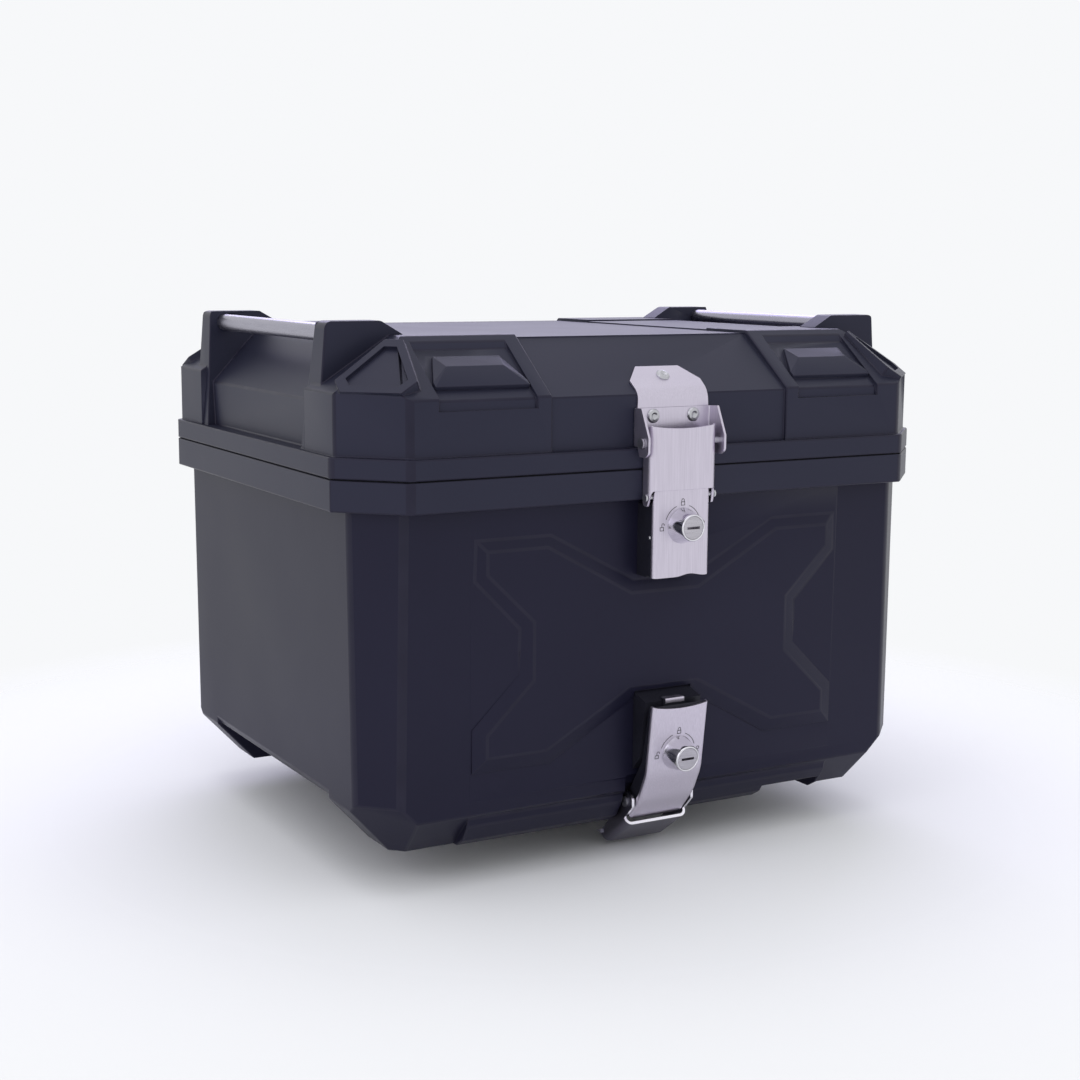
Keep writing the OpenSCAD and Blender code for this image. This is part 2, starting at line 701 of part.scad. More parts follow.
module latch_lever_core() {
    back_y = -case_hd - 1;
    color(dark_nylon) difference() {
        union() {
            box(-core_hw, core_hw, lever_back, back_y, lever_bottom + 2, lever_top);
            mirror_x()
                box(lever_hw - 2.5, lever_hw, lever_back + 2.05, back_y, lever_bottom + 1, lever_top - 6.1);
        }
        bar_x(1.5 + run_gap, 60, lever_axis);
        bar_y(barrel_shank_r + run_gap, 0, -case_hd - 20, 0, lock_z);
    }
}

// Tapered chrome barrel around a key rotor, along -Y from the face y
module key_barrel(y, z) {
    foot_r = barrel_d / 2;
    translate([0, y, z]) rotate([90, 0, 0]) rotate_extrude()
        polygon([[rotor_r + run_gap, -6.5], [barrel_shank_r, -6.5], [barrel_shank_r, 0], [foot_r, 0],
            [foot_r, 1.2], [foot_r - 0.9, 2.6],
            [8.8, barrel_len - 2.3], [8.4, barrel_len - 0.6], [7.8, barrel_len],
            [rotor_r + run_gap, barrel_len]]);
}

// Key rotor with a key slot
module key_rotor(y, z) {
    difference() {
        bar_y(rotor_r, 0, y - barrel_len + 0.5, y + 6, z);
        box(-4.6, 4.6, y - barrel_len, y - barrel_len + 6, z - 0.8, z + 0.8);
    }
}

module latch_barrel() color([0.8, 0.8, 0.84]) key_barrel(lever_face, lock_z);
module latch_rotor() color([0.72, 0.72, 0.76]) key_rotor(lever_face, lock_z);

module catch_block() {
    color(dark_nylon) difference() {
        box(-lever_hw + 0.4, lever_hw - 0.4, -case_hd - 0.4, -tub_hd + 0.3, lever_bottom, flange_z - 3);
        // socket for the lever's bolt
        box(-7, 7, -case_hd - 1, -case_hd + 5, lock_z - 6, lock_z + 3);
        holes_y(catch_spots, -case_hd - 1, -tub_hd + 1);
    }
}

module catch_screws() {
    color(bolt_metal) for (s = catch_spots) bar_y(shank_r, s[0], -case_hd + 1, -tub_hd + wall + 4, s[1]);
}

module catch_backing_plate() {
    color(bolt_metal) difference() {
        box(-22, 22, -tub_hd + wall, -tub_hd + wall + 2, 165, 204);
        holes_y(catch_spots, -case_hd, -tub_hd + 12);
    }
}

module catch_holes() {
    holes_y(catch_spots, -case_hd, -tub_hd + 6);
    // flat seat for the catch block
    box(-lever_hw + 0.4, lever_hw - 0.4, -case_hd, -tub_hd + 0.3, lever_bottom, flange_z - 3);
}

// ---- plate release ----

// The release lever's front line set back by t
function set_back(t) = [for (i = [0:3]) lever_line[i] + t * lever_inward[i]];
function strip(a, b) = concat(a, [for (i = [len(b) - 1:-1:0]) b[i]]);

module release_lever_cover() {
    color(steel) difference() {
        union() {
            along_x(2 * lever_hw, strip(set_back(0), set_back(sheet)));
            mirror_x() translate([lever_hw - sheet / 2, 0, 0])
                along_x(sheet, strip(set_back(0), set_back(3.5)));
        }
        // hollow upper edge
        top_hollow(release_top + 0.6);
        release_barrel_hole();
    }
}

module release_barrel_hole() {
    translate([0, release_lock[0], release_lock[1]]) rotate([90 + release_lean, 0, 0])
        cylinder(r = barrel_shank_r + run_gap, h = 60, center = true);
}

module release_lever_core() {
    color(dark_nylon) difference() {
        union() {
            along_x(2 * core_hw, concat(set_back(sheet + 0.02), [release_axis + [4, -6],
                release_axis + [4, 4], lever_line[1] + [9, 8], lever_line[0] + [8, -2]]));
        }
        bar_x(2 + run_gap, 60, release_axis);
        release_barrel_hole();
    }
}

module release_pin() {
    color([0.75, 0.74, 0.78]) cross_pin(2, 2 * (lever_hw + 3.9), 3.2, release_axis);
}

module on_release_lock() {
    translate([0, release_lock[0], release_lock[1]]) rotate([release_lean, 0, 0]) children();
}

module release_barrel() color([0.8, 0.8, 0.84]) on_release_lock() key_barrel(0, 0);
module release_rotor() color([0.72, 0.72, 0.76]) on_release_lock() key_rotor(0, 0);

module release_housing() {
    color(dark_nylon) difference() {
        union() {
            along_x(2 * lever_hw, [[-tub_hd + 1.2, 88], [-case_hd - 2.5, 84], [lever_line[1][0] + 9.6, 47],
                [-tub_hd + 1.2, 38]]);
            // striker for the lever's bolt
            box(-8, 8, -case_hd - 4, -case_hd + 3, 81, 85);
        }
        holes_y(release_spots, -case_hd - 4, -tub_hd + 4);
    }
}

module release_screws() {
    color(bolt_metal) for (s = release_spots) bar_y(shank_r, s[0], -case_hd + 5, -tub_hd + wall + 5, s[1]);
}

module release_backing_plate() {
    color(bolt_metal) difference() {
        box(-22, 22, -tub_hd + wall + 2, -tub_hd + wall + 4, 42, 80);
        holes_y(release_spots, -case_hd, -tub_hd + 12);
    }
}

// Hollow in the tub's front foot where the release lever and the jaw swing
module release_holes() {
    holes_y(release_spots, -case_hd, -tub_hd + 8);
    along_x(2 * (lever_hw + 4.5), [[-case_hd - 10, -2], [-case_hd - 10, 34], [-tub_hd + 4, 34],
        [-tub_hd + 6, 28], [-tub_hd + 20, 13], [-tub_hd + 26, 8], [-tub_hd + 26, -2]]);
    box(-lever_hw - 0.5, lever_hw + 0.5, -tub_hd - 9, -tub_hd + 1.2, 31, 89);
}

// Steel jaw: two ears on the release pin and a sloping plate that reaches under the carrier plate
module grip_jaw() {
    half = lever_hw + 2.6;
    inner = jaw_t * [sin(jaw_slope), cos(jaw_slope)];
    back = [jaw_tip + [0.8, jaw_wall], jaw_tip + [0.8 + jaw_t, jaw_wall], jaw_tip + [2.9, 2.2],
        jaw_tip + [1.4, 0.3], jaw_tip];
    color([0.45, 0.44, 0.5]) difference() {
        union() {
            along_x(2 * half,
                concat([jaw_top - [3, 0], jaw_top + [0, 1.6], jaw_tip + inner + [-1, 0.8]], back));
            mirror_x() translate([half - 0.8, 0, 0]) along_x(1.6, concat([jaw_top - [3, 0],
                release_axis + [-3, -10], release_axis + [-7, -3], release_axis + [-7, 2],
                release_axis + [-2, 6], release_axis + [4, 5], release_axis + [6.5, -3]], back));
        }
        bar_x(shank_r + run_gap, 60, release_axis);
    }
}

case_body();
rim_seal();
floor_mat();
foot_pads();
plate_hook_left();
plate_hook_right();
plate_hook_screws();
hinge_base_left();
hinge_base_right();
hinge_base_screws();
catch_block();
catch_screws();
catch_backing_plate();
release_housing();
release_screws();
release_backing_plate();
release_pin();
lid_shell();
rail_left();
rail_right();
rail_end_plugs();
lid_bracket();
bracket_rivets();
bracket_backing_plate();
hinge_leaf_left();
hinge_leaf_right();
hinge_leaf_screws();
hinge_pin_left();
hinge_pin_right();
latch_link();
link_pin();
latch_lever_cover();
latch_lever_core();
lever_pin();
latch_barrel();
latch_rotor();
release_lever_cover();
release_lever_core();
release_barrel();
release_rotor();
grip_jaw();
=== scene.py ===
"""Looks for a hard motorcycle top case: satin moulded shells, bent stainless latch parts, chrome locks."""

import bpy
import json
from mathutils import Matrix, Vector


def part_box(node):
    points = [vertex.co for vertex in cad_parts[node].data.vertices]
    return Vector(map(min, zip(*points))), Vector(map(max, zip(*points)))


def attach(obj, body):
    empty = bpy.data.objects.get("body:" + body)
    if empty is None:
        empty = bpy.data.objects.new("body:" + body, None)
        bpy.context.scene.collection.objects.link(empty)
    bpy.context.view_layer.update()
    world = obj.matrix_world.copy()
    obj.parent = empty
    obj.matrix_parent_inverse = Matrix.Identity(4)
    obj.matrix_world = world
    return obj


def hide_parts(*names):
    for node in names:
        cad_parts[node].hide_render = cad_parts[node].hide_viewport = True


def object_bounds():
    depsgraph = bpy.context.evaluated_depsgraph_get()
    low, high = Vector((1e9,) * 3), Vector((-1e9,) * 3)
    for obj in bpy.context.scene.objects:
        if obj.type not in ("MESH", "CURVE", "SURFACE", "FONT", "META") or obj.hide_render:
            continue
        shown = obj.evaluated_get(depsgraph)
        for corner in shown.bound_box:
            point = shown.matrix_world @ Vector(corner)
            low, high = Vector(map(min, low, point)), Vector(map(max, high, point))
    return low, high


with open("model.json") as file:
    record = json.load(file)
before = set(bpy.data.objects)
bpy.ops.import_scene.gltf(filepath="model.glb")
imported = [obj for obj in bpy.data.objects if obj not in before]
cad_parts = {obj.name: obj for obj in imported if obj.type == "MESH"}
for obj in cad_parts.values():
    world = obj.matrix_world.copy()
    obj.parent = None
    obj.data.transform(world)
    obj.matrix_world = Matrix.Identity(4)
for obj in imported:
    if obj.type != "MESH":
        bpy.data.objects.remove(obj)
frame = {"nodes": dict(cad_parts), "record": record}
cad_box = [list(corner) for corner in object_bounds()]

import json
import math

import bmesh
import bpy
import numpy as np
from mathutils import Matrix, Vector

MM = 0.001

# Camera: where it stands, in metres, and how it is turned, in degrees
CAMERA_PLACE = (-0.61428, -1.08653, 0.35705)
CAMERA_AZIMUTH = -29.56
CAMERA_ELEVATION = 8.95
CAMERA_ROLL = 0.41
CAMERA_LENS = 59.78

# Darker and lighter patches of the floor, and the distances from its middle where it thins out and ends
FLOOR_COLOUR = ((0.93, 0.935, 0.95), (0.935, 0.94, 0.955))
FLOOR_FULL = 0.34
FLOOR_GONE = 0.62

BACKDROP = (0.93, 0.939, 0.955)

# Release pin's axis, as y and z
RELEASE_AXIS = np.array([-157, 16]) * MM

# Locks: the middle of each on its lever's face, and how far the release lever leans
LATCH_LOCK = (0, -181 * MM, 195 * MM)
RELEASE_LOCK = (0, -180 * MM, 51 * MM)
RELEASE_LEAN = math.radians(7.3)
RELEASE_OUT = (0, -math.cos(RELEASE_LEAN), -math.sin(RELEASE_LEAN))
RELEASE_UP = (0, -math.sin(RELEASE_LEAN), math.cos(RELEASE_LEAN))

# Setbacks of rounded edges: the widest, upright corners, and all the others
WIDEST = 4.5 * MM
UPRIGHT = 3.2 * MM
USUAL = 1.1 * MM

# Heights where the tub's rim starts and where the fins' tops are, and the fins' distance from the middle;
# above the rim's start the tub is painted lighter, as painted light on its upper part
RIM_FOOT = 210.5 * MM
FIN_TOP = 318 * MM
FIN_INSIDE = 195 * MM

# Sheet metal of the latch parts
SHEET = 1.5 * MM
CUT_EDGE = 0.22 * MM


# ---------------------------------------------------------------- surfaces

def surface(name, points, turned=False):
    """Sheet over a grid of points (rows, columns, 3).

    Each cell is one four-sided face, and turned swaps its side.
    """
    rows, columns = points.shape[:2]
    corner = np.arange(rows * columns).reshape(rows, columns)
    around = [corner[:-1, :-1], corner[:-1, 1:], corner[1:, 1:], corner[1:, :-1]]
    if turned:
        around = around[::-1]
    faces = np.stack(around, axis=-1).reshape(-1, 4)
    mesh = bpy.data.meshes.new(name)
    mesh.from_pydata(points.reshape(-1, 3).tolist(), [], faces.tolist())
    mesh.polygons.foreach_set("use_smooth", np.ones(len(mesh.polygons), bool))
    piece = bpy.data.objects.new(name, mesh)
    bpy.context.scene.collection.objects.link(piece)
    return piece


def tidy_mesh(piece, gap=1e-6):
    """Merges points that lie on each other and points every face outwards."""
    work = bmesh.new()
    work.from_mesh(piece.data)
    bmesh.ops.remove_doubles(work, verts=work.verts, dist=gap)
    bmesh.ops.dissolve_degenerate(work, edges=work.edges, dist=gap)
    bmesh.ops.recalc_face_normals(work, faces=work.faces)
    work.to_mesh(piece.data)
    work.free()
    return piece


def rounded_path(corners, radii, steps=10):
    """Open path in a plane, rounded at each inner corner.

    An arc touches both sides there, and starts at radius times the tangent of half the turn from the corner.
    """
    corners = np.asarray(corners, float)
    path = [corners[0]]
    for before, at, after, radius in zip(corners[:-2], corners[1:-1], corners[2:], radii):
        into = (at - before) / np.linalg.norm(at - before)
        out = (after - at) / np.linalg.norm(after - at)
        turn = math.acos(float(np.clip(into @ out, -1, 1)))
        reach = radius * math.tan(turn / 2)
        share = np.linspace(0, 1, steps + 1)[:, None]
        # both sides' directions blended by sines give even steps round the arc
        heading = (np.sin((1 - share) * turn) * into + np.sin(share * turn) * out) / math.sin(turn)
        inward = (out - into) / np.linalg.norm(out - into)
        centre = at + inward * radius / math.cos(turn / 2)
        side = 1 if into[0] * out[1] - into[1] * out[0] > 0 else -1
        path.extend(centre + side * radius * np.stack([heading[:, 1], -heading[:, 0]], axis=1))
        assert reach < np.linalg.norm(at - before)
    path.append(corners[-1])
    return np.array(path)


def along(path, distance):
    """Points of a path at the given distances from its start, and the directions there."""
    step = np.linalg.norm(np.diff(path, axis=0), axis=1)
    run = np.concatenate([[0], np.cumsum(step)])
    place = np.stack([np.interp(distance, run, path[:, k]) for k in range(path.shape[1])], axis=-1)
    slope = np.gradient(path, run, axis=0)
    slope /= np.linalg.norm(slope, axis=1)[:, None]
    heading = np.stack([np.interp(distance, run, slope[:, k]) for k in range(path.shape[1])], axis=-1)
    return place, heading / np.linalg.norm(heading, axis=-1)[..., None]


def length(path):
    """Length of a path."""
    return float(np.linalg.norm(np.diff(path, axis=0), axis=1).sum())


def thicken(piece, thickness, edge=CUT_EDGE):
    """Gives a sheet its thickness behind the face that shows, and takes the sharpness off its cut edges."""
    wall = piece.modifiers.new("wall", "SOLIDIFY")
    wall.thickness = thickness
    wall.offset = -1
    wall.use_even_offset = True
    soft = piece.modifiers.new("cut_edges", "BEVEL")
    soft.width = edge
    soft.segments = 2
    soft.limit_method = "ANGLE"
    soft.angle_limit = math.radians(50)
    soft.harden_normals = True
    return piece


def lathe(name, profile, centre, axis, across, sides=96):
    """Turned piece: a profile of (radius, height) points carried round an axis through centre."""
    angle = np.linspace(0, 2 * math.pi, sides + 1)
    axis, across = np.asarray(axis, float), np.asarray(across, float)
    third = np.cross(axis, across)
    ring = np.cos(angle)[:, None] * across + np.sin(angle)[:, None] * third
    profile = np.asarray(profile, float)
    points = np.asarray(centre) + profile[:, None, :1] * ring[None] + profile[:, None, 1:] * axis
    return tidy_mesh(surface(name, points))


# ---------------------------------------------------------------- materials

class Finish:
    """A material under construction: its node tree, its shader and short ways to add nodes."""

    def __init__(self, name, colour, roughness, metallic=0.0, **sockets):
        self.material = bpy.data.materials.new(name)
        self.material.use_nodes = True
        self.tree = self.material.node_tree
        self.shader = self.tree.nodes["Principled BSDF"]
        self.shader.inputs["Base Color"].default_value = (*colour, 1)
        self.shader.inputs["Roughness"].default_value = roughness
        self.shader.inputs["Metallic"].default_value = metallic
        for socket, value in sockets.items():
            self.shader.inputs[socket.replace("_", " ")].default_value = value
        self.place = self.tree.nodes.new("ShaderNodeTexCoord").outputs["Object"]
        self.height = None

    def link(self, source, target):
        self.tree.links.new(source, target)

    def noise(self, scale, detail=2.0, stretch=(1, 1, 1), roughness=0.5):
        """Cloudy pattern of the given scale, stretched by a share along each axis."""
        turn = self.tree.nodes.new("ShaderNodeMapping")
        turn.inputs["Scale"].default_value = stretch
        self.link(self.place, turn.inputs["Vector"])
        cloud = self.tree.nodes.new("ShaderNodeTexNoise")
        cloud.inputs["Scale"].default_value = scale
        cloud.inputs["Detail"].default_value = detail
        cloud.inputs["Roughness"].default_value = roughness
        self.link(turn.outputs["Vector"], cloud.inputs["Vector"])
        return cloud.outputs["Fac"]

    def ramp(self, source, low, high, start=0.3, end=0.7):
        """Two colours or grey levels blended between two levels of the source."""
        node = self.tree.nodes.new("ShaderNodeValToRGB")
        first, last = node.color_ramp.elements
        first.position, last.position = start, end
        first.color = (*np.broadcast_to(low, 3), 1)
        last.color = (*np.broadcast_to(high, 3), 1)
        self.link(source, node.inputs["Fac"])
        return node.outputs["Color"]

    def colour_from(self, source):
        self.link(source, self.shader.inputs["Base Color"])

    def roughness_from(self, source, low, high):
        self.link(self.ramp(source, low, high), self.shader.inputs["Roughness"])

    def bump(self, source, strength, distance):
        """Adds relief to the surface, over any relief added before."""
        node = self.tree.nodes.new("ShaderNodeBump")
        node.inputs["Strength"].default_value = strength
        node.inputs["Distance"].default_value = distance
        self.link(source, node.inputs["Height"])
        if self.height is not None:
            self.link(self.height, node.inputs["Normal"])
        self.height = node.outputs["Normal"]
        self.link(self.height, self.shader.inputs["Normal"])


TINT = (0.82, 0.79, 1.0)


def moulded_plastic(name, dark, light):
    """Satin black shell plastic: fine spark-eroded grain, faint cloudy sheen and a violet cast."""
    f = Finish(name, light, 0.42, Specular_IOR_Level=0.23)
    f.shader.inputs["Specular Tint"].default_value = (*TINT, 1)
    f.colour_from(f.ramp(f.noise(7, 3), dark, light))
    f.roughness_from(f.noise(14, 3), 0.4, 0.435)
    f.bump(f.noise(950, 3), 0.16, 0.00022)
    f.bump(f.noise(60, 2), 0.03, 0.0006)
    return f.material


def moulded_edge():
    """Rounded edges of the shells: the same plastic, rubbed a little smoother."""
    f = Finish("moulded_edge", (0.01, 0.01, 0.021), 0.36, Specular_IOR_Level=0.3)
    f.shader.inputs["Specular Tint"].default_value = (*TINT, 1)
    f.colour_from(f.ramp(f.noise(45, 4), (0.0085, 0.0083, 0.019), (0.0125, 0.012, 0.025)))
    f.roughness_from(f.noise(120, 3), 0.35, 0.41)
    f.bump(f.noise(950, 3), 0.1, 0.0002)
    return f.material


def nylon():
    """Glass-filled black nylon of the latch cores, hooks and plugs."""
    f = Finish("black_nylon", (0.01, 0.01, 0.017), 0.5, Specular_IOR_Level=0.3)
    f.colour_from(f.ramp(f.noise(35, 4), (0.008, 0.008, 0.014), (0.013, 0.013, 0.022)))
    f.roughness_from(f.noise(160, 3), 0.44, 0.6)
    f.bump(f.noise(1400, 2), 0.25, 0.0002)
    return f.material


def rubber():
    """Matt black rubber with a dusty bloom."""
    f = Finish("black_rubber", (0.014, 0.014, 0.015), 0.85, Specular_IOR_Level=0.3)
    f.colour_from(f.ramp(f.noise(30, 5), (0.009, 0.009, 0.01), (0.022, 0.022, 0.024)))
    f.bump(f.noise(700, 3), 0.3, 0.0003)
    return f.material


def coated_steel():
    """Black powder coat with its orange-peel skin."""
    f = Finish("coated_steel", (0.012, 0.012, 0.014), 0.4, Coat_Weight=0.2, Coat_Roughness=0.25)
    f.roughness_from(f.noise(60, 3), 0.34, 0.48)
    f.bump(f.noise(420, 2), 0.25, 0.0004)
    return f.material


def brushed(name, dark, light, rough, grain=(1, 1, 0.02), tint=(1, 1, 1), relief=0.12):
    """Brushed sheet metal: fine scratches drawn out along one axis, over a speckled satin ground."""
    f = Finish(name, light, rough[0], metallic=1.0, Anisotropic=0.35)
    scratch = f.noise(2600, 3, grain)
    f.colour_from(f.ramp(scratch, dark, light, 0.25, 0.75))
    f.roughness_from(f.noise(1500, 4), rough[0], rough[1])
    f.bump(scratch, relief, 0.00008)
    f.bump(f.noise(1100, 3), relief * 1.2, 0.0001)
    return f.material


def chrome():
    """Polished lock chrome with hair-fine handling marks."""
    f = Finish("lock_chrome", (0.74, 0.73, 0.77), 0.07, metallic=1.0)
    f.roughness_from(f.noise(140, 5), 0.05, 0.14)
    f.bump(f.noise(60, 2), 0.02, 0.0002)
    return f.material


def printed_ink():
    """Dark grey printed marks, slightly broken up."""
    f = Finish("printed_ink", (0.03, 0.028, 0.032), 0.55)
    f.colour_from(f.ramp(f.noise(2500, 2), (0.02, 0.02, 0.022), (0.07, 0.065, 0.075)))
    return f.material


TUB_PLASTIC = moulded_plastic("tub_plastic", (0.0085, 0.0083, 0.021), (0.0105, 0.0103, 0.025))
# The same satin shell plastic painted about twice as light: painted light on the lid and on the tub's upper
# rim, where more light falls from above
UPPER_PLASTIC_PAINTED_LIGHTER = moulded_plastic("upper_plastic_painted_lighter", (0.0175, 0.0185, 0.034), (0.021, 0.022, 0.039))
PLASTIC_EDGE = moulded_edge()
NYLON = nylon()
RUBBER = rubber()
COATED = coated_steel()
STAINLESS = brushed("brushed_stainless", (0.55, 0.51, 0.6), (0.66, 0.615, 0.715), (0.3, 0.4), relief=0.07)
POLISHED_RIM = brushed("polished_rim", (0.82, 0.8, 0.86), (0.9, 0.88, 0.94), (0.16, 0.24), (1, 1, 1),
                       relief=0.03)
ROTOR = brushed("lock_rotor", (0.4, 0.385, 0.42), (0.55, 0.53, 0.58), (0.26, 0.36), (0.03, 1, 1))
ALUMINIUM = brushed("rail_aluminium", (0.3, 0.29, 0.35), (0.37, 0.36, 0.42), (0.24, 0.34), (1, 0.02, 1),
                    relief=0.06)
DARK_STEEL = brushed("dark_steel", (0.12, 0.113, 0.15), (0.17, 0.16, 0.21), (0.3, 0.4), (0.03, 1, 1))
ZINC = brushed("zinc_fasteners", (0.42, 0.42, 0.44), (0.6, 0.6, 0.63), (0.26, 0.4), (1, 1, 1))
CHROME = chrome()
INK = printed_ink()

MATERIAL_OF_SLOT = {
    "satin_black_plastic": TUB_PLASTIC,
    "black_rubber": RUBBER,
    "black_nylon": NYLON,
    "black_coated_steel": COATED,
    "rail_aluminium": ALUMINIUM,
    "brushed_stainless": STAINLESS,
    "lock_chrome": CHROME,
    "lock_rotor": ROTOR,
    "dark_steel": DARK_STEEL,
    "zinc_fasteners": ZINC,
}
SLOT_OF_NODE = {part["node"]: part["material_slot"] for part in frame["record"]["subparts"]}
BODIES = frame["record"]["behaviour"]["bodies"]
BODY_OF_NODE = {node: body for body, nodes in BODIES.items() for node in nodes}


def dress(piece, *materials):
    """Puts the given materials in a piece's slots."""
    piece.data.materials.clear()
    for material in materials:
        piece.data.materials.append(material)
    return piece


def stand_for(piece, node, *materials):
    """Lets a new piece take a CAD node's place: its body and its finish, and hides the node."""
    dress(piece, *(materials or (MATERIAL_OF_SLOT[SLOT_OF_NODE[node]],)))
    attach(piece, BODY_OF_NODE[node])
    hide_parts(node)
    return piece


# ---------------------------------------------------------------- mouldings

def soft_copy(name, node, setback_of, segments=4, least_angle=14, least_length=4 * MM, room=0.3):
    """Copy of a CAD node with merged points and flat faces joined, whose edges are rounded.

    setback_of gives each edge's wanted setback. It is held to a share of the narrower neighbouring
    face's width, which is its area over the edge's length: room, or narrow_room beside a face under
    4 mm wide. It is also held to end_room times the shortest edge that it meets.
    """
    narrow, narrow_room, end_room = 4 * MM, 0.1, 0.45
    mesh = frame["nodes"][node].data.copy()
    piece = bpy.data.objects.new(name, mesh)
    bpy.context.scene.collection.objects.link(piece)
    work = bmesh.new()
    work.from_mesh(mesh)
    bmesh.ops.remove_doubles(work, verts=work.verts, dist=2e-6)
    bmesh.ops.dissolve_limit(work, angle_limit=math.radians(0.4), verts=work.verts, edges=work.edges)
    share = work.edges.layers.float.new("bevel_weight_edge")
    for edge in work.edges:
        if len(edge.link_faces) != 2 or edge.calc_length() < least_length:
            continue
        if edge.calc_face_angle(0) < math.radians(least_angle):
            continue
        across = min(face.calc_area() for face in edge.link_faces) / edge.calc_length()
        met = min(other.calc_length() for end in edge.verts for other in end.link_edges if other is not edge)
        held = across * (room if across > narrow else narrow_room)
        edge[share] = min(setback_of(edge), held, met * end_room) / WIDEST
    work.to_mesh(mesh)
    work.free()
    mesh.polygons.foreach_set("use_smooth", np.ones(len(mesh.polygons), bool))
    mesh.set_sharp_from_angle(angle=math.radians(25))
    soft = piece.modifiers.new("rounded_edges", "BEVEL")
    soft.width = WIDEST
    soft.segments = segments
    soft.limit_method = "WEIGHT"
    soft.use_clamp_overlap = False
    soft.harden_normals = True
    return piece


def moulding_setback(edge):
    """Wide on tall corner edges and on the fins' outer top edges, narrow elsewhere."""
    line = edge.verts[1].co - edge.verts[0].co
    middle = (edge.verts[0].co + edge.verts[1].co) / 2
    turn = math.degrees(edge.calc_face_angle(0))
    if abs(line.normalized().z) > 0.97 and 30 < turn < 60 and line.length > 9 * MM:
        return UPRIGHT
    if abs(line.normalized().y) > 0.97 and middle.z > FIN_TOP and abs(middle.x) > FIN_INSIDE:
        return WIDEST
    return USUAL


def mouldings():
    """The tub and the lid, with the rounded edges of real mouldings; the lid and the tub's rim get the shell
    plastic painted lighter, as painted light on the upper shell.
    """
    for name, node in (("tub_moulding", "case_body"), ("lid_moulding", "lid_shell")):
        piece = soft_copy(name, node, moulding_setback)
        piece.modifiers["rounded_edges"].material = 1
        body = UPPER_PLASTIC_PAINTED_LIGHTER if node == "lid_shell" else TUB_PLASTIC
        stand_for(piece, node, body, PLASTIC_EDGE, UPPER_PLASTIC_PAINTED_LIGHTER)
        # tub faces above the rim's start take the lighter painted plastic: painted light on the tub's upper
        # part
        for face in piece.data.polygons:
            if node == "case_body" and face.center.z > RIM_FOOT:
                face.material_index = 2


# ---------------------------------------------------------------- latch sheet metal

def channel(name, half_width, face, back, corner, low, high, rows=24):
    """Bent sheet, open to the back: a U outline across, from low to high.

    The outline runs up one flange, round a bend of the corner's radius, across the face and back down the
    other flange. low and high give the lower and upper edge at x and y.
    """
    outline = rounded_path([[-half_width, back], [-half_width, face], [half_width, face], [half_width, back]],
                           [corner, corner])
    outline, _ = along(outline, np.linspace(0, length(outline), 161))
    x, y = outline[:, 0], outline[:, 1]
    share = np.linspace(0, 1, rows)[:, None]
    z = low(x, y) * (1 - share) + high(x, y) * share
    points = np.stack([np.broadcast_to(x, z.shape), np.broadcast_to(y, z.shape), z], axis=-1)
    return thicken(surface(name, points), SHEET)


def hollow(x, half_width, depth):
    """How far an edge dips at x: a round hollow of the given depth that ends level at the half width."""
    return depth * (1 - np.clip(np.abs(x) / half_width, 0, 1) ** 2)


def latch_link():
    """Swinging link: hollow upper edge, and side tabs that drop past the lever's pin."""
    low_corner, high_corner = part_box("latch_link")
    face, back = low_corner.y, high_corner.y
    bottom, top = low_corner.z, high_corner.z
    tab = bottom + 9.7 * MM

    def low(x, y):
        share = np.clip((y - face - 0.6 * MM) / (4.6 * MM), 0, 1)
        turn_in = np.clip((y - back + 2.2 * MM) / (2.2 * MM), 0, 1)
        return tab + (bottom - tab) * share ** 2 * (3 - 2 * share) + 2.6 * MM * turn_in ** 2

    def high(x, y):
        flange = np.interp(y, [face + 2.5 * MM, back - 2.2 * MM, back], [top, top - 2.4 * MM, top - 6 * MM])
        return flange - hollow(x, high_corner.x, 2 * MM) * (y < face + 2 * MM)

    piece = channel("latch_link_sheet", high_corner.x, face, back, 5.2 * MM, low, high)
    stand_for(piece, "latch_link")


def latch_lever():
    """Lever cover: a shallow channel whose lower edge waves up beside its middle."""
    low_corner, high_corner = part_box("latch_lever_cover")
    wave_x, wave_w, wave_h = 6 * MM, 11 * MM, 1.5 * MM

    def low(x, y):
        wave = np.cos(np.clip((x - wave_x) / wave_w, -1, 1) * math.pi / 2) ** 2
        return low_corner.z + wave_h * wave

    def high(x, y):
        share = np.clip((y - low_corner.y - 0.8 * MM) / (1.8 * MM), 0, 1)
        return high_corner.z - 8 * MM * share ** 2

    piece = channel("latch_lever_sheet", high_corner.x, low_corner.y, high_corner.y, 3.3 * MM, low, high)
    stand_for(piece, "latch_lever_cover")


